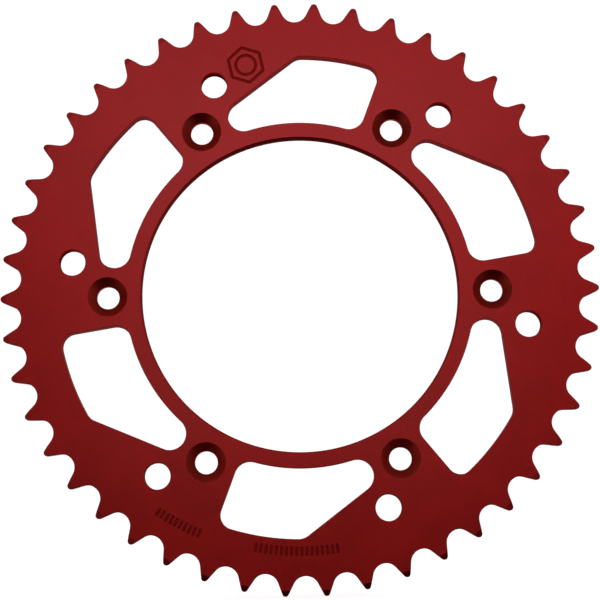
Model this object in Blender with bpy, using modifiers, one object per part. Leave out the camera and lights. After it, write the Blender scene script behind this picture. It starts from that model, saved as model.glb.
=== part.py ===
"""Rear drive sprocket of a chain-driven off-road motorcycle, machined from one aluminium plate.

The wheel axis is world Y. The countersunk outer face looks towards -Y and the face that sits on the
wheel hub looks towards +Y. The origin is the middle of the bore, halfway through the plate. One bolt
hole and one tooth lie on +X. Every length is in metres.

The plate and its cutters are laid out in XY with the outer face up. They all hang from one empty,
which stands them on edge.
"""

import math

import bmesh
import bpy
from mathutils import Vector

# Chain and teeth
TOOTH_COUNT = 46
CHAIN_PITCH = 0.015875
ROLLER_SEAT_RADIUS = 0.00525
TIP_DIAMETER = 0.2383
TIP_ROUNDING_RADIUS = 0.0013
TOOTH_CHAMFER_WIDTH = 0.0024
TOOTH_CHAMFER_DEPTH = 0.0012

# Plate and bore
PLATE_THICKNESS = 0.0058
BORE_DIAMETER = 0.126
BORE_CHAMFER = 0.0005

# Bolt holes, countersunk at 90 degrees on the outer face
BOLT_HOLE_COUNT = 6
BOLT_CIRCLE_DIAMETER = 0.153
BOLT_HOLE_DIAMETER = 0.009
COUNTERSINK_DIAMETER = 0.0157

# Plain holes, each just short of the next bolt hole
PLAIN_HOLE_CIRCLE_DIAMETER = 0.183
PLAIN_HOLE_DIAMETER = 0.0104
PLAIN_HOLE_ANGLE = math.radians(51.15)

# Windows, with angles counted from the bolt hole that each one follows
WINDOW_INNER_RADIUS = 0.0693
WINDOW_OUTER_RADIUS = 0.0968
WINDOW_CORNER_RADIUS = 0.00625
WINDOW_WIDE_OUTER_RADIUS = 0.0055
WINDOW_NARROW_END_RADIUS = 0.00641
WINDOW_WIDE_END_ANGLE = math.radians(9.0)
WINDOW_SLOPE_NORMAL_ANGLE = math.radians(66.7)
WINDOW_SLOPE_DISTANCE = 0.07735

# How closely flat facets follow a curve, and how far cutters run past the plate
CHORD_TOLERANCE = 0.00004
CUTTER_OVERRUN = 0.001
WELD_DISTANCE = 0.000001
SHARP_EDGE_ANGLE = math.radians(30.0)

# Red anodised aluminium
ANODISED_RED = (0.262, 0.013, 0.0144, 1.0)
ANODISED_ROUGHNESS = 0.42
ANODISED_METALLIC = 0.85

FULL_TURN = 2.0 * math.pi
TOOTH_STEP = FULL_TURN / TOOTH_COUNT
BOLT_STEP = FULL_TURN / BOLT_HOLE_COUNT
PITCH_RADIUS = CHAIN_PITCH / (2.0 * math.sin(TOOTH_STEP / 2.0))
TIP_RADIUS = TIP_DIAMETER / 2.0
BORE_RADIUS = BORE_DIAMETER / 2.0
BOLT_HOLE_RADIUS = BOLT_HOLE_DIAMETER / 2.0
COUNTERSINK_RADIUS = COUNTERSINK_DIAMETER / 2.0
PLAIN_HOLE_RADIUS = PLAIN_HOLE_DIAMETER / 2.0
HALF_THICKNESS = PLATE_THICKNESS / 2.0
CUTTER_HALF_HEIGHT = HALF_THICKNESS + CUTTER_OVERRUN
ON_AXIS = Vector((0.0, 0.0))


def polar(radius, angle):
    """Point in the plate, given by its distance and direction from the wheel axis."""
    return Vector((radius * math.cos(angle), radius * math.sin(angle)))


def direction(point):
    """Direction of a point as seen from the wheel axis."""
    return math.atan2(point.y, point.x)


def arc_steps(radius, sweep):
    """Fewest equal steps that keep the facets of an arc within the chord tolerance."""
    largest_step = 2.0 * math.acos(1.0 - CHORD_TOLERANCE / radius)
    return math.ceil(abs(sweep) / largest_step)


def arc(centre, radius, start, end):
    """Points along an arc, both ends included."""
    steps = arc_steps(radius, end - start)
    angles = [start + (end - start) * step / steps for step in range(steps + 1)]
    return [centre + polar(radius, angle) for angle in angles]


def toothed_outline():
    """Outline of the plate: each tooth has a rounded tip and straight flanks into its roller seats."""
    half_step = TOOTH_STEP / 2.0
    tip_centre_radius = TIP_RADIUS - TIP_ROUNDING_RADIUS
    tip_to_seat = polar(PITCH_RADIUS, half_step) - polar(tip_centre_radius, 0.0)
    # A flank touches the tip rounding on one side and the roller seat on the other.
    lean = math.acos((TIP_ROUNDING_RADIUS + ROLLER_SEAT_RADIUS) / tip_to_seat.length)
    flank_normal = direction(tip_to_seat) - lean
    seat_half_sweep = flank_normal - half_step
    outline = []
    for tooth in range(TOOTH_COUNT):
        middle = tooth * TOOTH_STEP
        tip_centre = polar(tip_centre_radius, middle)
        outline += arc(tip_centre, TIP_ROUNDING_RADIUS, middle - flank_normal, middle + flank_normal)
        seat_centre = polar(PITCH_RADIUS, middle + half_step)
        inward = middle + half_step + math.pi
        outline += arc(seat_centre, ROLLER_SEAT_RADIUS, inward + seat_half_sweep, inward - seat_half_sweep)
    return outline


def corner_centre(ring_radius, edge_normal, edge_distance, side):
    """Where a circle about the wheel axis meets a line given by its normal and its distance."""
    return polar(ring_radius, edge_normal + side * math.acos(edge_distance / ring_radius))


def window_outline():
    """Window after the first bolt hole: two arcs about the wheel axis, a radial end and a slope."""
    corner = WINDOW_CORNER_RADIUS
    wide_corner = WINDOW_WIDE_OUTER_RADIUS
    narrow_end = WINDOW_NARROW_END_RADIUS
    inner_ring = WINDOW_INNER_RADIUS + corner
    outer_ring = WINDOW_OUTER_RADIUS - corner
    wide_ring = WINDOW_OUTER_RADIUS - wide_corner
    narrow_ring = WINDOW_INNER_RADIUS + narrow_end
    end_normal = WINDOW_WIDE_END_ANGLE - math.pi / 2.0
    slope_normal = WINDOW_SLOPE_NORMAL_ANGLE
    slope = WINDOW_SLOPE_DISTANCE
    wide_inner = corner_centre(inner_ring, end_normal, -corner, 1.0)
    wide_outer = corner_centre(wide_ring, end_normal, -wide_corner, 1.0)
    blunt_outer = corner_centre(outer_ring, slope_normal, slope - corner, -1.0)
    narrow_inner = corner_centre(narrow_ring, slope_normal, slope - narrow_end, -1.0)
    outline = arc(ON_AXIS, WINDOW_INNER_RADIUS, direction(narrow_inner), direction(wide_inner))
    outline += arc(wide_inner, corner, direction(wide_inner) + math.pi, end_normal + FULL_TURN)
    outline += arc(wide_outer, wide_corner, end_normal, direction(wide_outer))
    outline += arc(ON_AXIS, WINDOW_OUTER_RADIUS, direction(wide_outer), direction(blunt_outer))
    outline += arc(blunt_outer, corner, direction(blunt_outer), slope_normal)
    outline += arc(narrow_inner, narrow_end, slope_normal, direction(narrow_inner) + math.pi)
    return outline


def without_repeats(outline):
    """Drop every point that falls on the one before it."""
    pairs = zip(outline, outline[-1:] + outline[:-1])
    return [point for point, previous in pairs if (point - previous).length > WELD_DISTANCE]


def evaluated_mesh(source):
    """The mesh an object has after its curve settings and modifiers."""
    depsgraph = bpy.context.evaluated_depsgraph_get()
    return bpy.data.meshes.new_from_object(source.evaluated_get(depsgraph))


def slab_mesh(name, outline, half_height):
    """Solid with upright sides over a closed outline."""
    points = without_repeats(outline)
    curve = bpy.data.curves.new(name, "CURVE")
    curve.dimensions = "2D"
    curve.fill_mode = "BOTH"
    curve.extrude = half_height
    spline = curve.splines.new("POLY")
    spline.points.add(len(points) - 1)
    for target, point in zip(spline.points, points):
        target.co = (point.x, point.y, 0.0, 1.0)
    spline.use_cyclic_u = True
    drawing = bpy.data.objects.new(name, curve)
    bpy.context.scene.collection.objects.link(drawing)
    mesh = evaluated_mesh(drawing)
    bpy.data.objects.remove(drawing)
    bpy.data.curves.remove(curve)
    shape = bmesh.new()
    shape.from_mesh(mesh)
    bmesh.ops.remove_doubles(shape, verts=shape.verts[:], dist=WELD_DISTANCE)
    shape.to_mesh(mesh)
    shape.free()
    mesh.name = name
    return mesh


def cone_mesh(name, lower_radius, upper_radius, sides):
    """Upright cone or cylinder as tall as a cutter."""
    shape = bmesh.new()
    bmesh.ops.create_cone(
        shape,
        cap_ends=True,
        segments=sides,
        radius1=lower_radius,
        radius2=upper_radius,
        depth=2.0 * CUTTER_HALF_HEIGHT,
    )
    mesh = bpy.data.meshes.new(name)
    shape.to_mesh(mesh)
    shape.free()
    return mesh


def profile_mesh(name, profile):
    """Chain of edges in XZ through (radius, height) points, running top to bottom."""
    mesh = bpy.data.meshes.new(name)
    points = [(radius, 0.0, height) for radius, height in profile]
    edges = [(place, place + 1) for place in range(len(profile) - 1)]
    mesh.from_pydata(points, edges, [])
    return mesh


def turn_profile(turned, steps):
    """Screw modifier that turns an object's profile once about its own Z."""
    screw = turned.modifiers.new("turn", "SCREW")
    screw.axis = "Z"
    screw.angle = FULL_TURN
    screw.steps = steps
    screw.render_steps = steps
    screw.use_merge_vertices = True
    screw.merge_threshold = WELD_DISTANCE


def place(name, mesh, centre, angle, parent, collection):
    """Object at a point in the plate, turned by an angle about the wheel axis direction."""
    placed = bpy.data.objects.new(name, mesh)
    placed.parent = parent
    placed.location = (centre.x, centre.y, 0.0)
    placed.rotation_euler = (0.0, 0.0, angle)
    collection.objects.link(placed)
    return placed


def bore_cutter(parent, collection):
    """Plug for the bore, flared at both ends to break its edges."""
    flare_radius = BORE_RADIUS + BORE_CHAMFER + CUTTER_OVERRUN
    straight_end = HALF_THICKNESS - BORE_CHAMFER
    profile = [
        (0.0, CUTTER_HALF_HEIGHT),
        (flare_radius, CUTTER_HALF_HEIGHT),
        (BORE_RADIUS, straight_end),
        (BORE_RADIUS, -straight_end),
        (flare_radius, -CUTTER_HALF_HEIGHT),
        (0.0, -CUTTER_HALF_HEIGHT),
    ]
    cutter = place("bore_cutter", profile_mesh("bore_cutter", profile), ON_AXIS, 0.0, parent, collection)
    turn_profile(cutter, arc_steps(BORE_RADIUS, FULL_TURN))
    return [cutter]


def bolt_hole_cutters(parent, collection):
    """Drill and countersink for each bolt hole."""
    sink_floor = HALF_THICKNESS - (COUNTERSINK_RADIUS - BOLT_HOLE_RADIUS)
    profile = [
        (0.0, CUTTER_HALF_HEIGHT),
        (COUNTERSINK_RADIUS + CUTTER_OVERRUN, CUTTER_HALF_HEIGHT),
        (BOLT_HOLE_RADIUS, sink_floor),
        (BOLT_HOLE_RADIUS, -CUTTER_HALF_HEIGHT),
        (0.0, -CUTTER_HALF_HEIGHT),
    ]
    mesh = profile_mesh("bolt_hole_cutter", profile)
    cutters = []
    for number in range(BOLT_HOLE_COUNT):
        angle = number * BOLT_STEP
        centre = polar(BOLT_CIRCLE_DIAMETER / 2.0, angle)
        cutter = place(f"bolt_hole_cutter_{number + 1}", mesh, centre, angle, parent, collection)
        turn_profile(cutter, arc_steps(COUNTERSINK_RADIUS, FULL_TURN))
        cutters.append(cutter)
    return cutters


def plain_hole_cutters(parent, collection):
    """Drill for each plain hole."""
    sides = arc_steps(PLAIN_HOLE_RADIUS, FULL_TURN)
    mesh = cone_mesh("plain_hole_cutter", PLAIN_HOLE_RADIUS, PLAIN_HOLE_RADIUS, sides)
    cutters = []
    for number in range(BOLT_HOLE_COUNT):
        angle = number * BOLT_STEP + PLAIN_HOLE_ANGLE
        centre = polar(PLAIN_HOLE_CIRCLE_DIAMETER / 2.0, angle)
        cutters.append(place(f"plain_hole_cutter_{number + 1}", mesh, centre, angle, parent, collection))
    return cutters


def window_cutters(parent, collection):
    """Punch for each window."""
    mesh = slab_mesh("window_cutter", window_outline(), CUTTER_HALF_HEIGHT)
    cutters = []
    for number in range(BOLT_HOLE_COUNT):
        angle = number * BOLT_STEP
        cutters.append(place(f"window_cutter_{number + 1}", mesh, ON_AXIS, angle, parent, collection))
    return cutters


def tooth_chamfer_envelopes(parent, collection):
    """Cones, one for each face of the plate, that leave off the sides of the tooth tips."""
    # Each cone has one flat side across every tooth, so its corners fall over the roller seats.
    to_corner = 1.0 / math.cos(TOOTH_STEP / 2.0)
    slope = TOOTH_CHAMFER_WIDTH / TOOTH_CHAMFER_DEPTH
    face_radius = TIP_RADIUS - TOOTH_CHAMFER_WIDTH
    upper_radius = (face_radius - slope * CUTTER_OVERRUN) * to_corner
    lower_radius = upper_radius + slope * 2.0 * CUTTER_HALF_HEIGHT * to_corner
    mesh = cone_mesh("tooth_chamfer_envelope", lower_radius, upper_radius, TOOTH_COUNT)
    first_side = math.atan2(mesh.vertices[0].co.y, mesh.vertices[0].co.x)
    outer = place("outer_tooth_envelope", mesh, ON_AXIS, TOOTH_STEP / 2.0 - first_side, parent, collection)
    inner = place("inner_tooth_envelope", mesh, ON_AXIS, 0.0, parent, collection)
    inner.rotation_euler = (math.pi, 0.0, TOOTH_STEP / 2.0 + first_side)
    return [outer, inner]


def add_boolean(blank, cutter, operation):
    """Exact Boolean between the blank and a cutter."""
    boolean = blank.modifiers.new(cutter.name, "BOOLEAN")
    boolean.operation = operation
    boolean.solver = "EXACT"
    boolean.object = cutter


def anodised_aluminium():
    """Satin red anodised aluminium."""
    material = bpy.data.materials.new("red_anodised_aluminium")
    material.use_nodes = True
    shader = material.node_tree.nodes["Principled BSDF"]
    shader.inputs["Base Color"].default_value = ANODISED_RED
    shader.inputs["Roughness"].default_value = ANODISED_ROUGHNESS
    shader.inputs["Metallic"].default_value = ANODISED_METALLIC
    material.diffuse_color = ANODISED_RED
    return material


def keep_machined_mesh(sprocket):
    """Apply the machining, then shade the curved walls smooth with crisp edges."""
    blank_mesh = sprocket.data
    machined = evaluated_mesh(sprocket)
    sprocket.modifiers.clear()
    sprocket.data = machined
    bpy.data.meshes.remove(blank_mesh)
    machined.name = sprocket.name
    machined.shade_smooth()
    machined.set_sharp_from_angle(angle=SHARP_EDGE_ANGLE)


def main():
    """Lay out the blank and its cutters, then machine the plate."""
    for leftover in list(bpy.data.objects):
        bpy.data.objects.remove(leftover)
    parts = bpy.data.collections.new("rear_sprocket")
    cutters = bpy.data.collections.new("rear_sprocket_cutters")
    for collection in (parts, cutters):
        bpy.context.scene.collection.children.link(collection)

    wheel_axis = bpy.data.objects.new("wheel_axis", None)
    wheel_axis.rotation_euler = (math.pi / 2.0, 0.0, 0.0)
    parts.objects.link(wheel_axis)

    blank = slab_mesh("sprocket_blank", toothed_outline(), HALF_THICKNESS)
    blank.materials.append(anodised_aluminium())
    sprocket = place("sprocket", blank, ON_AXIS, 0.0, wheel_axis, parts)

    envelopes = tooth_chamfer_envelopes(wheel_axis, cutters)
    drills = bore_cutter(wheel_axis, cutters)
    drills += bolt_hole_cutters(wheel_axis, cutters)
    drills += plain_hole_cutters(wheel_axis, cutters)
    drills += window_cutters(wheel_axis, cutters)
    for cutter in envelopes + drills:
        cutter.hide_render = True
        cutter.display_type = "WIRE"
    for envelope in envelopes:
        add_boolean(sprocket, envelope, "INTERSECT")
    for drill in drills:
        add_boolean(sprocket, drill, "DIFFERENCE")
    keep_machined_mesh(sprocket)


main()
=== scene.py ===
# Looks of a red anodised rear sprocket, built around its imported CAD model.
#
# The wheel axis is world Y. The countersunk outer face looks towards -Y, one bolt hole and one tooth lie
# on +X, and the origin is the middle of the bore. Every length is in metres.
#
# The plate is one closed mesh. It is drawn flat, with x along +X and y along +Z, as closed outlines. Each
# outline carries an edge profile that runs from the outer face to the inner face. Heights in the drawing
# grow towards the outer face.

import math

import bmesh
import bpy
import numpy as np
from mathutils import Matrix, Vector
from mathutils.geometry import delaunay_2d_cdt


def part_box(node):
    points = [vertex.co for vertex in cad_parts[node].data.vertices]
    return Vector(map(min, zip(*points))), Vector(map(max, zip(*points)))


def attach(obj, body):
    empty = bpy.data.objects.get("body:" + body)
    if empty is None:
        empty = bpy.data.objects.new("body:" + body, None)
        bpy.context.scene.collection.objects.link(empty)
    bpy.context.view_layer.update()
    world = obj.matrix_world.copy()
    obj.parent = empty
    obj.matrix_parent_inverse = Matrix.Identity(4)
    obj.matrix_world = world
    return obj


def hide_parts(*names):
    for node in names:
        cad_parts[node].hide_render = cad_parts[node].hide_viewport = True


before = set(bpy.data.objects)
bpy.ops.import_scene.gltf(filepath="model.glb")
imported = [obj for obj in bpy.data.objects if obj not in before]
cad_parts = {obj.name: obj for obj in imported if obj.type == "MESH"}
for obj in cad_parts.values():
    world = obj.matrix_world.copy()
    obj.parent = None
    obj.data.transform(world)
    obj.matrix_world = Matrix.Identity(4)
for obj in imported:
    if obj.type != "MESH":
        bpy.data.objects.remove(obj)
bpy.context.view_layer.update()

CAD_NODE = "sprocket"
PIECE = "sprocket_plate"
BODY = "root"

# Chain and teeth
TOOTH_COUNT = 46
TIP_RADIUS = 0.11915
CHAIN_PITCH = 0.015875
ROLLER_SEAT_RADIUS = 0.00525
TIP_ROUNDING_RADIUS = 0.0013
TOOTH_CHAMFER_WIDTH = 0.0024
TOOTH_CHAMFER_DEPTH = 0.0012

# Bore, bolt holes and plain holes
BORE_RADIUS = 0.063
BORE_CHAMFER = 0.0005
BOLT_HOLE_COUNT = 6
BOLT_CIRCLE_RADIUS = 0.0765
BOLT_HOLE_RADIUS = 0.0045
COUNTERSINK_RADIUS = 0.00785
PLAIN_HOLE_CIRCLE_RADIUS = 0.0915
PLAIN_HOLE_RADIUS = 0.0052
PLAIN_HOLE_ANGLE = math.radians(51.15)

# Windows, with angles counted from the bolt hole that each one follows
WINDOW_INNER_RADIUS = 0.0693
WINDOW_OUTER_RADIUS = 0.0968
WINDOW_CORNER_RADIUS = 0.00625
WINDOW_WIDE_OUTER_RADIUS = 0.0055
WINDOW_NARROW_END_RADIUS = 0.00641
WINDOW_WIDE_END_ANGLE = math.radians(9.0)
WINDOW_SLOPE_NORMAL_ANGLE = math.radians(66.7)
WINDOW_SLOPE_DISTANCE = 0.07735

# Broken edges: their rounding and its number of facets, and the rim of a countersink
EDGE_BREAK = 0.0002
EDGE_BREAK_STEPS = 3
RIM_BREAK = 0.0001

# Engraved marks: a plain nut drawn as a hexagon with a ring in it, and two rows of short bars
MARK_DEPTH = 0.00025
MARK_DRAFT = 0.00015
NUT_PLACE = (0.0957, math.radians(102.1))
HEXAGON_RADIUS = 0.0081
HEXAGON_CORNER_RADIUS = 0.0009
HEXAGON_LINE_WIDTH = 0.0012
RING_RADIUS = 0.0040
RING_LINE_WIDTH = 0.0012
BAR_HALF_WIDTH = 0.00055
BAR_HALF_LENGTH = 0.0018
BAR_CORNER_RADIUS = 0.00025
BAR_PITCH = 0.0020
# Each row's distance and direction from the wheel axis, and its number of bars
BAR_ROWS = ((0.1024, math.radians(241.2), 10), (0.1014, math.radians(268.1), 17))

# How far a facet may leave its curve, and how near two points have to be to count as one
CHORD_TOLERANCE = 0.000008
WELD_DISTANCE = 0.000001
FILL_WELD_DISTANCE = 0.0000001

FULL_TURN = 2.0 * math.pi
QUARTER_TURN = math.pi / 2.0
TOOTH_STEP = FULL_TURN / TOOTH_COUNT
BOLT_STEP = FULL_TURN / BOLT_HOLE_COUNT
PITCH_RADIUS = CHAIN_PITCH / (2.0 * math.sin(TOOTH_STEP / 2.0))

lowest_corner, highest_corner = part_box(CAD_NODE)
HALF_THICKNESS = highest_corner.y
CHAMFER_START = TIP_RADIUS - TOOTH_CHAMFER_WIDTH
CHAMFER_SLOPE = TOOTH_CHAMFER_DEPTH / TOOTH_CHAMFER_WIDTH
ON_AXIS = Vector((0.0, 0.0))

# Place of each finish in the list of materials
FACE_FINISH = 0
EDGE_FINISH = 1
WALL_FINISH = 2
TURNED_FINISH = 3
BORE_FINISH = 4
MARK_FINISH = 5
DRILLED_FINISH = 6


def polar(radius, angle):
    """Point of the drawing, given by its distance and direction from the wheel axis."""
    return Vector((radius * math.cos(angle), radius * math.sin(angle)))


def direction(point):
    """Direction of a point as seen from the wheel axis."""
    return math.atan2(point.y, point.x)


def turned(point, angle):
    """Point turned about the wheel axis."""
    return Matrix.Rotation(angle, 2) @ point


def arc(centre, radius, start, end, facing):
    """Points and wall normals along an arc. Normals face 1 away from its centre, or -1 towards it."""
    largest_step = 2.0 * math.acos(1.0 - CHORD_TOLERANCE / radius)
    steps = max(1, math.ceil(abs(end - start) / largest_step))
    angles = [start + (end - start) * step / steps for step in range(steps + 1)]
    return [(centre + polar(radius, angle), facing * polar(1.0, angle)) for angle in angles]


def without_repeats(outline):
    """Drop every point that falls on the one before it."""
    pairs = zip(outline, outline[-1:] + outline[:-1])
    return [knot for knot, previous in pairs if (knot[0] - previous[0]).length > WELD_DISTANCE]


def circle(centre, radius, facing=-1.0):
    """Round wall that faces its centre, or away from it where facing is 1."""
    return without_repeats(arc(centre, radius, 0.0, FULL_TURN, facing))


def moved(outline, angle, shift=ON_AXIS):
    """Outline turned about the wheel axis and then shifted."""
    return [(turned(point, angle) + shift, turned(normal, angle)) for point, normal in outline]


def tooth_local_x(point):
    """How far out a point is along the middle of the nearest tooth."""
    middle = round(direction(point) / TOOTH_STEP) * TOOTH_STEP
    return point.dot(polar(1.0, middle))


def with_chamfer_starts(outline, inset):
    """Outline with a point added wherever the inset outline crosses the start of a tooth chamfer."""
    result = []
    for (point, normal), (next_point, next_normal) in zip(outline, outline[1:] + outline[:1]):
        result.append((point, normal))
        here = tooth_local_x(point - inset * normal) - CHAMFER_START
        there = tooth_local_x(next_point - inset * next_normal) - CHAMFER_START
        if here * there < 0.0:
            share = here / (here - there)
            result.append((point.lerp(next_point, share), normal.lerp(next_normal, share).normalized()))
    return without_repeats(result)


def toothed_outline():
    """Outline of the plate: each tooth has a rounded tip and straight flanks into its roller seats."""
    half_step = TOOTH_STEP / 2.0
    tip_centre_radius = TIP_RADIUS - TIP_ROUNDING_RADIUS
    tip_to_seat = polar(PITCH_RADIUS, half_step) - polar(tip_centre_radius, 0.0)
    # A flank touches the tip rounding on one side and the roller seat on the other.
    lean = math.acos((TIP_ROUNDING_RADIUS + ROLLER_SEAT_RADIUS) / tip_to_seat.length)
    flank_normal = direction(tip_to_seat) - lean
    seat_half_sweep = flank_normal - half_step
    outline = []
    for tooth in range(TOOTH_COUNT):
        middle = tooth * TOOTH_STEP
        tip_centre = polar(tip_centre_radius, middle)
        outline += arc(tip_centre, TIP_ROUNDING_RADIUS, middle - flank_normal, middle + flank_normal, 1.0)
        seat_centre = polar(PITCH_RADIUS, middle + half_step)
        inward = middle + half_step + math.pi
        first = inward + seat_half_sweep
        last = inward - seat_half_sweep
        outline += arc(seat_centre, ROLLER_SEAT_RADIUS, first, last, -1.0)
    return with_chamfer_starts(without_repeats(outline), EDGE_BREAK)


def corner_centre(ring_radius, edge_normal, edge_distance, side):
    """Where a circle about the wheel axis meets a line given by its normal and its distance."""
    return polar(ring_radius, edge_normal + side * math.acos(edge_distance / ring_radius))


def window_outline():
    """Window after the first bolt hole: two arcs about the wheel axis, a radial end and a slope."""
    corner = WINDOW_CORNER_RADIUS
    wide_corner = WINDOW_WIDE_OUTER_RADIUS
    narrow_end = WINDOW_NARROW_END_RADIUS
    inner_ring = WINDOW_INNER_RADIUS + corner
    outer_ring = WINDOW_OUTER_RADIUS - corner
    wide_ring = WINDOW_OUTER_RADIUS - wide_corner
    narrow_ring = WINDOW_INNER_RADIUS + narrow_end
    end_normal = WINDOW_WIDE_END_ANGLE - QUARTER_TURN
    slope_normal = WINDOW_SLOPE_NORMAL_ANGLE
    slope = WINDOW_SLOPE_DISTANCE
    wide_inner = corner_centre(inner_ring, end_normal, -corner, 1.0)
    wide_outer = corner_centre(wide_ring, end_normal, -wide_corner, 1.0)
    blunt_outer = corner_centre(outer_ring, slope_normal, slope - corner, -1.0)
    narrow_inner = corner_centre(narrow_ring, slope_normal, slope - narrow_end, -1.0)
    outline = arc(ON_AXIS, WINDOW_INNER_RADIUS, direction(narrow_inner), direction(wide_inner), 1.0)
    outline += arc(wide_inner, corner, direction(wide_inner) + math.pi, end_normal + FULL_TURN, -1.0)
    outline += arc(wide_outer, wide_corner, end_normal, direction(wide_outer), -1.0)
    outline += arc(ON_AXIS, WINDOW_OUTER_RADIUS, direction(wide_outer), direction(blunt_outer), -1.0)
    outline += arc(blunt_outer, corner, direction(blunt_outer), slope_normal, -1.0)
    outline += arc(narrow_inner, narrow_end, slope_normal, direction(narrow_inner) + math.pi, -1.0)
    return without_repeats(outline)


def rounded_polygon(corners, corner_radius, facing):
    """Polygon about the drawing's origin, given anticlockwise, with each corner rounded."""
    outline = []
    for before, corner, after in zip(corners[-1:] + corners[:-1], corners, corners[1:] + corners[:1]):
        to_before = (before - corner).normalized()
        to_after = (after - corner).normalized()
        bisector = (to_before + to_after).normalized()
        half_angle = to_before.angle(to_after) / 2.0
        centre = corner + bisector * (corner_radius / math.sin(half_angle))
        middle = direction(-bisector)
        half_sweep = QUARTER_TURN - half_angle
        outline += arc(centre, corner_radius, middle - half_sweep, middle + half_sweep, facing)
    return without_repeats(outline)


def hexagon(radius, corner_radius, facing):
    """Regular hexagon with rounded corners."""
    corners = [polar(radius, step * FULL_TURN / 6.0) for step in range(6)]
    return rounded_polygon(corners, corner_radius, facing)


def bar():
    """One short upright bar of an engraved row."""
    signs = ((1, 1), (-1, 1), (-1, -1), (1, -1))
    corners = [Vector((x * BAR_HALF_LENGTH, y * BAR_HALF_WIDTH)) for x, y in signs]
    return rounded_polygon(corners, BAR_CORNER_RADIUS, -1.0)


# An edge profile is a list of knots and the finish of each strip between them. A knot is the inset into
# the plate, the height, and the lean of the surface just before and just after it. A lean of 0 faces
# straight out of the wall, and a quarter turn faces straight out of the face.


def broken_edge():
    """Profile from the outer face round onto the wall."""
    knots = []
    for step in range(EDGE_BREAK_STEPS + 1):
        lean = QUARTER_TURN * (1.0 - step / EDGE_BREAK_STEPS)
        inset = EDGE_BREAK * (1.0 - math.cos(lean))
        height = HALF_THICKNESS - EDGE_BREAK * (1.0 - math.sin(lean))
        knots.append((inset, height, lean, lean))
    return knots


def underside(knots):
    """The same profile at the inner face, run from the wall onto the face."""
    return [(inset, -height, -after, -before) for inset, height, before, after in reversed(knots)]


def plain_profile(wall_finish):
    """Straight wall with both edges broken."""
    edge_finishes = [EDGE_FINISH] * EDGE_BREAK_STEPS
    return broken_edge() + underside(broken_edge()), edge_finishes + [wall_finish] + edge_finishes


def bore_profile():
    """Straight wall with a chamfer at each end."""
    lean = math.pi / 4.0
    chamfer = [
        (BORE_CHAMFER, HALF_THICKNESS, lean, lean),
        (0.0, HALF_THICKNESS - BORE_CHAMFER, lean, 0.0),
    ]
    return chamfer + underside(chamfer), [EDGE_FINISH, BORE_FINISH, EDGE_FINISH]


def bolt_hole_profile():
    """Countersink on the outer face and a straight hole below it."""
    lean = math.pi / 4.0
    sink = COUNTERSINK_RADIUS - BOLT_HOLE_RADIUS
    countersink = [
        (sink + RIM_BREAK, HALF_THICKNESS, QUARTER_TURN, QUARTER_TURN),
        (sink - RIM_BREAK, HALF_THICKNESS - RIM_BREAK, lean, lean),
        (0.0, HALF_THICKNESS - sink, lean, 0.0),
    ]
    finishes = [EDGE_FINISH, TURNED_FINISH, TURNED_FINISH] + [EDGE_FINISH] * EDGE_BREAK_STEPS
    return countersink + underside(broken_edge()), finishes


def mark_profile():
    """Sloping side of an engraved mark, down to its floor."""
    lean = math.atan2(MARK_DRAFT, MARK_DEPTH)
    knots = [
        (0.0, HALF_THICKNESS, lean, lean),
        (-MARK_DRAFT, HALF_THICKNESS - MARK_DEPTH, lean, lean),
    ]
    return knots, [MARK_FINISH]


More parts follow.
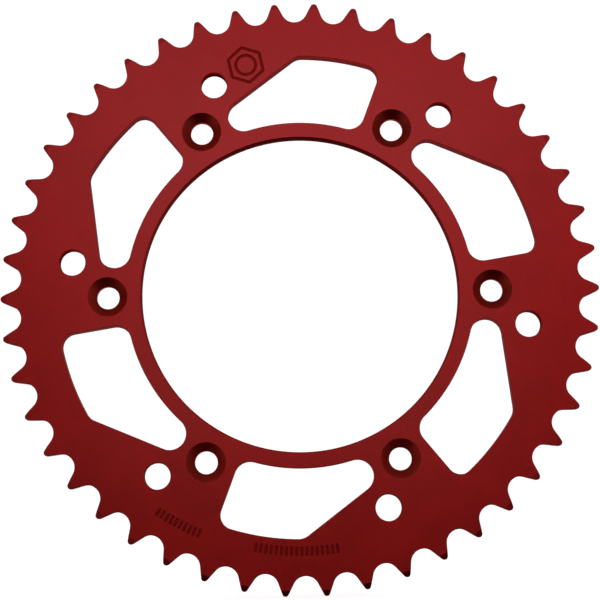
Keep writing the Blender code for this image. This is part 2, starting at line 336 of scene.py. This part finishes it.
class PlateBuilder:
    """The growing mesh: points, faces, and the shading normal of each face corner."""

    def __init__(self):
        self.points = []
        self.faces = []
        self.finishes = []
        self.normals = []

    def add_point(self, flat, height):
        """Point of the plate. Beyond the start of a tooth chamfer both faces fall away."""
        fall = max(0.0, tooth_local_x(flat) - CHAMFER_START) * CHAMFER_SLOPE
        share = height / HALF_THICKNESS
        self.points.append((flat.x, fall * share - height, flat.y))
        return len(self.points) - 1

    def face_normal(self, flat, side):
        """Normal of the outer face (side 1) or the inner face (side -1), or of its tooth chamfer."""
        if tooth_local_x(flat) <= CHAMFER_START:
            return Vector((0.0, -side, 0.0))
        middle = round(direction(flat) / TOOTH_STEP) * TOOTH_STEP
        outward = polar(CHAMFER_SLOPE, middle)
        return Vector((outward.x, -side, outward.y)).normalized()

    def leaning_normal(self, flat, wall_normal, lean):
        """Wall normal tipped towards the outer face, or towards the inner face where lean is negative."""
        upright = Vector((wall_normal.x, 0.0, wall_normal.y)) * math.cos(lean)
        side = math.copysign(1.0, lean)
        return (upright + self.face_normal(flat, side) * abs(math.sin(lean))).normalized()

    def add_face(self, corners, normals, finish):
        """Face with a shading normal at each corner, wound so that it faces the way they do."""
        a, b, c = (Vector(self.points[index]) for index in corners[:3])
        if (b - a).cross(c - a).dot(sum(normals, Vector((0.0, 0.0, 0.0)))) < 0.0:
            corners = corners[::-1]
            normals = normals[::-1]
        self.faces.append(corners)
        self.normals += normals
        self.finishes.append(finish)

    def add_wall(self, outline, profile):
        """Strips of faces down an outline's profile. Returns its first and last ring."""
        knots, finishes = profile
        rings = []
        for inset, height, _, _ in knots:
            flats = [point - inset * normal for point, normal in outline]
            rings.append([(flat, self.add_point(flat, height)) for flat in flats])
        count = len(outline)
        for level, finish in enumerate(finishes):
            upper_lean = knots[level][3]
            lower_lean = knots[level + 1][2]
            for here in range(count):
                there = (here + 1) % count
                corners = [rings[level][here], rings[level][there]]
                corners += [rings[level + 1][there], rings[level + 1][here]]
                middle = sum((flat for flat, _ in corners), ON_AXIS) / 4.0
                walls = (outline[here][1], outline[there][1], outline[there][1], outline[here][1])
                leans = (upper_lean, upper_lean, lower_lean, lower_lean)
                normals = [self.leaning_normal(middle, wall, lean) for wall, lean in zip(walls, leans)]
                self.add_face([index for _, index in corners], normals, finish)
        return rings[0], rings[-1]

    def fill(self, rings, side, finish):
        """Flat faces between rings, left open wherever an even number of rings is round a place."""
        knots = [knot for ring in rings for knot in ring]
        edges = []
        start = 0
        for ring in rings:
            edges += [(start + place, start + (place + 1) % len(ring)) for place in range(len(ring))]
            start += len(ring)
        edges += chamfer_creases(knots)
        flats = [flat for flat, _ in knots]
        points, _, triangles, sources, _, _ = delaunay_2d_cdt(flats, edges, [], 0, FILL_WELD_DISTANCE)
        source = [originals[0] for originals in sources]
        triangles = np.array(triangles)
        centres = np.array(points)[triangles].mean(axis=1)
        inside = is_inside(centres, rings)
        for triangle, centre in zip(triangles[inside], centres[inside]):
            normal = self.face_normal(Vector(centre), side)
            corners = [knots[source[corner]][1] for corner in triangle]
            self.add_face(corners, [normal] * 3, finish)


def chamfer_creases(knots):
    """Edges across each tooth where its chamfer starts."""
    on_crease = {}
    for place, (flat, _) in enumerate(knots):
        if abs(tooth_local_x(flat) - CHAMFER_START) < WELD_DISTANCE:
            tooth = round(direction(flat) / TOOTH_STEP)
            on_crease.setdefault(tooth, []).append(place)
    return [tuple(places) for places in on_crease.values() if len(places) == 2]


def is_inside(centres, rings):
    """Which centres have an odd number of rings round them."""
    inside = np.zeros(len(centres), bool)
    for ring in rings:
        starts = np.array([flat for flat, _ in ring])
        ends = np.roll(starts, -1, axis=0)
        x = centres[:, :1]
        y = centres[:, 1:]
        spans = (starts[:, 1] > y) != (ends[:, 1] > y)
        rise = np.where(spans, ends[:, 1] - starts[:, 1], 1.0)
        crossing = starts[:, 0] + (y - starts[:, 1]) / rise * (ends[:, 0] - starts[:, 0])
        inside ^= (np.sum(spans & (crossing > x), axis=1) % 2).astype(bool)
    return inside


def mark_outlines():
    """The engraved marks, each a list of the outlines round its floor."""
    radius, angle = NUT_PLACE
    centre = polar(radius, angle)
    half_line = HEXAGON_LINE_WIDTH / 2.0
    outer = hexagon(HEXAGON_RADIUS, HEXAGON_CORNER_RADIUS + half_line, -1.0)
    inner_radius = HEXAGON_RADIUS - HEXAGON_LINE_WIDTH / math.cos(math.pi / 6.0)
    inner = hexagon(inner_radius, HEXAGON_CORNER_RADIUS - half_line, 1.0)
    marks = [[moved(outer, angle, centre), moved(inner, angle, centre)]]
    half_line = RING_LINE_WIDTH / 2.0
    marks.append([circle(centre, RING_RADIUS + half_line), circle(centre, RING_RADIUS - half_line, 1.0)])
    for radius, angle, count in BAR_ROWS:
        for number in range(count):
            bar_angle = angle + (number - (count - 1) / 2.0) * BAR_PITCH / radius
            marks.append([moved(bar(), bar_angle, polar(radius, bar_angle))])
    return marks


def sprocket_mesh():
    """The finished plate."""
    builder = PlateBuilder()
    outer_rings = []
    inner_rings = []
    walls = [
        (toothed_outline(), plain_profile(WALL_FINISH)),
        (circle(ON_AXIS, BORE_RADIUS), bore_profile()),
    ]
    window = window_outline()
    bolt_hole = circle(polar(BOLT_CIRCLE_RADIUS, 0.0), BOLT_HOLE_RADIUS)
    plain_hole = circle(polar(PLAIN_HOLE_CIRCLE_RADIUS, PLAIN_HOLE_ANGLE), PLAIN_HOLE_RADIUS)
    for number in range(BOLT_HOLE_COUNT):
        angle = number * BOLT_STEP
        walls.append((moved(window, angle), plain_profile(WALL_FINISH)))
        walls.append((moved(bolt_hole, angle), bolt_hole_profile()))
        walls.append((moved(plain_hole, angle), plain_profile(DRILLED_FINISH)))
    for outline, profile in walls:
        first, last = builder.add_wall(outline, profile)
        outer_rings.append(first)
        inner_rings.append(last)
    for outlines in mark_outlines():
        floor_rings = []
        for outline in outlines:
            first, last = builder.add_wall(outline, mark_profile())
            outer_rings.append(first)
            floor_rings.append(last)
        builder.fill(floor_rings, 1.0, MARK_FINISH)
    builder.fill(outer_rings, 1.0, FACE_FINISH)
    builder.fill(inner_rings, -1.0, FACE_FINISH)
    mesh = bpy.data.meshes.new(PIECE)
    mesh.from_pydata(builder.points, [], builder.faces)
    mesh.polygons.foreach_set("material_index", builder.finishes)
    mesh.polygons.foreach_set("use_smooth", [True] * len(builder.faces))
    mesh.normals_split_custom_set([tuple(normal) for normal in builder.normals])
    return mesh


# --- Materials ---------------------------------------------------------------------------------------

# Colour of each surface
RED = (0.40, 0.0060, 0.0048)
EDGE_RED = (0.40, 0.0130, 0.0130)
# The cut walls' colour is set lighter than the face as painted light, and the two rear colours below are
# painted shade
CUT_RED = (0.74, 0.0350, 0.0320)
SHADED_REAR_WALL_RED = (0.38, 0.0260, 0.0260)
SHADED_REAR_DRILLED_RED = (0.10, 0.0080, 0.0080)
TURNED_RED = (0.34, 0.0230, 0.0130)
# The bore's dark colour is painted shade inside the bore
SHADED_BORE_RED = (0.17, 0.0060, 0.0060)
ENGRAVED_RED = (0.25, 0.0100, 0.0060)

# Colour that a surface takes on at a grazing angle
GRAZING_RED = (1.0, 0.45, 0.45)
CUT_GRAZING_RED = (0.38, 0.120, 0.110)
DRILLED_GRAZING_RED = (0.32, 0.130, 0.110)

# Where along the wheel axis a cut wall starts to darken into its painted rear shade, and where that shade
# is full
REAR_SHADE_START = -0.0029
REAR_SHADE_END = 0.0006

# Cloudy patches and fine etched grain, mixed, which vary the colour and the gloss
PATCH_SCALE = 28.0
PATCH_DETAIL = 7.0
PATCH_ROUGHNESS = 0.8
GRAIN_SCALE = 2400.0
GRAIN_DETAIL = 5.0
GRAIN_ROUGHNESS = 0.7
GRAIN_SHARE = 0.4
NOISE_LOW = 0.4
NOISE_HIGH = 0.6
COLOUR_SPREAD = 0.16
ROUGHNESS_SPREAD = 0.03
BUMP_STRENGTH = 0.5
BUMP_DEPTH = 0.00002
ALL_WAYS = (1.0, 1.0, 1.0)
ALONG_THE_BORE = (1.0, 0.1, 1.0)

COAT_ROUGHNESS = 0.24
COAT_IOR = 1.5

# Name, colour, grazing colour, roughness, weight of the glossy coat, scale of the grain, rear colour of
# painted shade
FINISHES = (
    ("anodised_face", RED, GRAZING_RED, 0.42, 0.35, ALL_WAYS, None),
    ("anodised_edge", EDGE_RED, CUT_GRAZING_RED, 0.42, 0.05, ALL_WAYS, None),
    ("anodised_wall_painted_light_and_shade", CUT_RED, CUT_GRAZING_RED, 0.42, 0.10, ALONG_THE_BORE, SHADED_REAR_WALL_RED),
    ("anodised_turned", TURNED_RED, GRAZING_RED, 0.42, 0.10, ALL_WAYS, None),
    ("anodised_bore_painted_shade", SHADED_BORE_RED, CUT_GRAZING_RED, 0.42, 0.02, ALONG_THE_BORE, None),
    ("anodised_mark", ENGRAVED_RED, GRAZING_RED, 0.50, 0.0, ALL_WAYS, None),
    ("anodised_drilled_painted_light_and_shade", CUT_RED, DRILLED_GRAZING_RED, 0.42, 0.0, ALONG_THE_BORE, SHADED_REAR_DRILLED_RED),
)


def new_node(tree, kind, settings):
    """Node with some of its inputs set."""
    node = tree.nodes.new(kind)
    for name, value in settings.items():
        node.inputs[name].default_value = value
    return node


def tone(tint, factor):
    """Tint made lighter or darker, with full opacity."""
    return (*(factor * value for value in tint), 1.0)


def colour_mix(tree, factor):
    """Node that mixes two colours by a factor."""
    mix = tree.nodes.new("ShaderNodeMix")
    mix.data_type = "RGBA"
    tree.links.new(factor, mix.inputs["Factor"])
    return mix


def varied_colour(tree, tint, variation):
    """Tint that drifts a little with the variation."""
    mix = colour_mix(tree, variation)
    mix.inputs["A"].default_value = tone(tint, 1.0 - COLOUR_SPREAD)
    mix.inputs["B"].default_value = tone(tint, 1.0 + COLOUR_SPREAD)
    return mix.outputs["Result"]


def rear_shade_factor(tree, place):
    """0 at the front of a cut wall, rising smoothly to 1 on its rear part, which painted shade darkens.
    """
    split = tree.nodes.new("ShaderNodeSeparateXYZ")
    tree.links.new(place, split.inputs["Vector"])
    limits = {"From Min": REAR_SHADE_START, "From Max": REAR_SHADE_END}
    ramp = new_node(tree, "ShaderNodeMapRange", limits)
    ramp.interpolation_type = "SMOOTHSTEP"
    tree.links.new(split.outputs["Y"], ramp.inputs["Value"])
    return ramp.outputs["Result"]


def anodised(name, tint, grazing, roughness, coat, grain_stretch, rear_shade_tint):
    """Dyed anodised aluminium with a fine etched grain; a rear tint paints shade on a cut wall's rear
    part.
    """
    material = bpy.data.materials.new(name)
    material.use_nodes = True
    tree = material.node_tree
    links = tree.links
    shader = tree.nodes["Principled BSDF"]
    shader.inputs["Metallic"].default_value = 1.0
    shader.inputs["Specular Tint"].default_value = tone(grazing, 1.0)
    shader.inputs["Coat Weight"].default_value = coat
    shader.inputs["Coat Roughness"].default_value = COAT_ROUGHNESS
    shader.inputs["Coat IOR"].default_value = COAT_IOR

    place = tree.nodes.new("ShaderNodeTexCoord").outputs["Object"]
    mapping = new_node(tree, "ShaderNodeMapping", {"Scale": grain_stretch})
    links.new(place, mapping.inputs["Vector"])
    patch_settings = {"Scale": PATCH_SCALE, "Detail": PATCH_DETAIL, "Roughness": PATCH_ROUGHNESS}
    patches = new_node(tree, "ShaderNodeTexNoise", patch_settings)
    links.new(place, patches.inputs["Vector"])
    grain_settings = {"Scale": GRAIN_SCALE, "Detail": GRAIN_DETAIL, "Roughness": GRAIN_ROUGHNESS}
    grain = new_node(tree, "ShaderNodeTexNoise", grain_settings)
    links.new(mapping.outputs["Vector"], grain.inputs["Vector"])
    both = new_node(tree, "ShaderNodeMix", {"Factor": GRAIN_SHARE})
    links.new(patches.outputs["Fac"], both.inputs["A"])
    links.new(grain.outputs["Fac"], both.inputs["B"])
    spread = new_node(tree, "ShaderNodeMapRange", {"From Min": NOISE_LOW, "From Max": NOISE_HIGH})
    links.new(both.outputs["Result"], spread.inputs["Value"])
    variation = spread.outputs["Result"]

    colour = varied_colour(tree, tint, variation)
    # Painted shade: the colour darkens from the front of a cut wall towards its rear face
    if rear_shade_tint:
        rear_shaded_colour = varied_colour(tree, rear_shade_tint, variation)
        shade_zones = colour_mix(tree, rear_shade_factor(tree, place))
        links.new(colour, shade_zones.inputs["A"])
        links.new(rear_shaded_colour, shade_zones.inputs["B"])
        colour = shade_zones.outputs["Result"]
    links.new(colour, shader.inputs["Base Color"])

    range_settings = {"To Min": roughness - ROUGHNESS_SPREAD, "To Max": roughness + ROUGHNESS_SPREAD}
    gloss = new_node(tree, "ShaderNodeMapRange", range_settings)
    links.new(variation, gloss.inputs["Value"])
    links.new(gloss.outputs["Result"], shader.inputs["Roughness"])
    bump = new_node(tree, "ShaderNodeBump", {"Strength": BUMP_STRENGTH, "Distance": BUMP_DEPTH})
    links.new(grain.outputs["Fac"], bump.inputs["Height"])
    links.new(bump.outputs["Normal"], shader.inputs["Normal"])
    return material


# --- The plate ---------------------------------------------------------------------------------------

plate = bpy.data.objects.new(PIECE, sprocket_mesh())
bpy.context.scene.collection.objects.link(plate)
for finish in FINISHES:
    plate.data.materials.append(anodised(*finish))
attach(plate, BODY)
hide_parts(CAD_NODE)

# --- Stage -------------------------------------------------------------------------------------------

STAGE_RADIUS = 12.0
STAGE_SEGMENTS = 96
STAGE_RINGS = 48
STAGE_ROUGHNESS = 0.8
FLOOR_ALBEDO = 0.9
FLOOR_GLOW = 0.66
BACKDROP_ALBEDO = 0.0
BACKDROP_GLOW = 1.05


def white(name, albedo, glow):
    """Matt white that glows a little, so that it reads as an evenly lit studio surface."""
    material = bpy.data.materials.new(name)
    material.use_nodes = True
    shader = material.node_tree.nodes["Principled BSDF"]
    shader.inputs["Base Color"].default_value = (albedo, albedo, albedo, 1.0)
    shader.inputs["Roughness"].default_value = STAGE_ROUGHNESS
    shader.inputs["Specular IOR Level"].default_value = 0.0
    shader.inputs["Emission Color"].default_value = (1.0, 1.0, 1.0, 1.0)
    shader.inputs["Emission Strength"].default_value = glow
    return material


def stage_piece(name, shape, material, height):
    """Part of the stage, seen by the camera but kept out of the sprocket's light and reflections."""
    mesh = bpy.data.meshes.new(name)
    shape.to_mesh(mesh)
    shape.free()
    mesh.materials.append(material)
    piece = bpy.data.objects.new(name, mesh)
    piece.location.z = height
    piece.visible_glossy = False
    piece.visible_diffuse = False
    piece.visible_shadow = False
    bpy.context.scene.collection.objects.link(piece)


disc = bmesh.new()
bmesh.ops.create_circle(disc, cap_ends=True, segments=STAGE_SEGMENTS, radius=STAGE_RADIUS)
stage_piece("floor", disc, white("floor_white", FLOOR_ALBEDO, FLOOR_GLOW), lowest_corner.z)

dome = bmesh.new()
bmesh.ops.create_uvsphere(dome, u_segments=STAGE_SEGMENTS, v_segments=STAGE_RINGS, radius=STAGE_RADIUS)
bmesh.ops.reverse_faces(dome, faces=dome.faces)
stage_piece("backdrop", dome, white("backdrop_white", BACKDROP_ALBEDO, BACKDROP_GLOW), 0.0)

# --- Light -------------------------------------------------------------------------------------------

# Middle of the dark part of the studio: degrees to the right of the countersunk face, degrees above it
DARK_AZIMUTH = 0.0
DARK_ELEVATION = -50.0

# Shares of the light from all round: the cosine of the angle from that middle at which a share is full,
# the cosine at which it has gone, and its strength
SURROUND = (
    (0.30, 0.90, 0.31),
    (-0.45, 0.15, 0.22),
)

NEUTRAL = (1.0, 1.0, 1.0)
COOL = (1.0, 0.96, 1.25)

# Name, degrees to the right of the countersunk face, degrees above it, distance, width, height, watts,
# colour
SOFTBOXES = (
    ("front", 0.0, 20.0, 2.0, 2.6, 0.6, 2.73, COOL),
    ("front_right", 45.0, 18.0, 2.0, 1.2, 0.7, 0.60, NEUTRAL),
    ("low_left", -65.0, -30.0, 2.0, 1.8, 1.4, 1.80, NEUTRAL),
    ("low_right", 65.0, -30.0, 2.0, 1.8, 1.4, 0.90, NEUTRAL),
    ("near_front", 0.0, 10.0, 0.86, 0.35, 0.35, 0.345, NEUTRAL),
    ("near_right", 47.7, 0.0, 0.74, 0.35, 0.35, 0.305, NEUTRAL),
)


def studio_direction(azimuth, elevation):
    """Unit vector from the sprocket, by degrees to the right of and above its countersunk face."""
    side = math.radians(azimuth)
    rise = math.radians(elevation)
    return Vector((math.sin(side) * math.cos(rise), -math.cos(side) * math.cos(rise), math.sin(rise)))


def studio_world():
    """Soft light from all round, strongest behind the sprocket and dark low in front of it."""
    world = bpy.data.worlds.new("studio")
    bpy.context.scene.world = world
    world.use_nodes = True
    tree = world.node_tree
    background = tree.nodes["Background"]
    background.inputs["Color"].default_value = (1.0, 1.0, 1.0, 1.0)
    place = tree.nodes.new("ShaderNodeTexCoord")
    cosine = tree.nodes.new("ShaderNodeVectorMath")
    cosine.operation = "DOT_PRODUCT"
    cosine.inputs[1].default_value = studio_direction(DARK_AZIMUTH, DARK_ELEVATION)
    tree.links.new(place.outputs["Generated"], cosine.inputs[0])
    total = tree.nodes.new("ShaderNodeMath")
    total.operation = "ADD"
    for slot, (full, gone, strength) in enumerate(SURROUND):
        limits = {"From Min": full, "From Max": gone, "To Min": strength, "To Max": 0.0}
        ramp = new_node(tree, "ShaderNodeMapRange", limits)
        ramp.interpolation_type = "SMOOTHSTEP"
        tree.links.new(cosine.outputs["Value"], ramp.inputs["Value"])
        tree.links.new(ramp.outputs["Result"], total.inputs[slot])
    tree.links.new(total.outputs["Value"], background.inputs["Strength"])


def softbox(name, azimuth, elevation, distance, width, height, power, colour):
    """Rectangular light that faces the middle of the sprocket."""
    towards = studio_direction(azimuth, elevation)
    lamp = bpy.data.lights.new(name, "AREA")
    lamp.shape = "RECTANGLE"
    lamp.size = width
    lamp.size_y = height
    lamp.energy = power
    lamp.color = colour
    light = bpy.data.objects.new(name, lamp)
    light.location = distance * towards
    light.rotation_euler = (-towards).to_track_quat("-Z", "Y").to_euler()
    light.visible_camera = False
    bpy.context.scene.collection.objects.link(light)


studio_world()
for settings in SOFTBOXES:
    softbox(*settings)

# --- Camera ------------------------------------------------------------------------------------------

CAMERA_DISTANCE = 0.6764
CAMERA_TURN = math.radians(-0.320)
CAMERA_PITCH = math.radians(7.723)
CAMERA_ROLL = math.radians(-1.196)
CAMERA_AIM_DROP = 0.00238
CAMERA_LENS = 101.745
CAMERA_SENSOR = 36.0
CAMERA_REACH = 100.0

turn = Matrix.Rotation(CAMERA_TURN, 3, "Z") @ Matrix.Rotation(QUARTER_TURN + CAMERA_PITCH, 3, "X")
turn = turn @ Matrix.Rotation(CAMERA_ROLL, 3, "Z")
camera_data = bpy.data.cameras.new("camera")
camera_data.lens = CAMERA_LENS
camera_data.sensor_width = CAMERA_SENSOR
camera_data.clip_end = CAMERA_REACH
camera = bpy.data.objects.new("camera", camera_data)
camera.location = turn @ Vector((0.0, -CAMERA_AIM_DROP, CAMERA_DISTANCE))
camera.rotation_euler = turn.to_euler()
bpy.context.scene.collection.objects.link(camera)
bpy.context.scene.camera = camera
bpy.context.scene.view_settings.view_transform = "Standard"
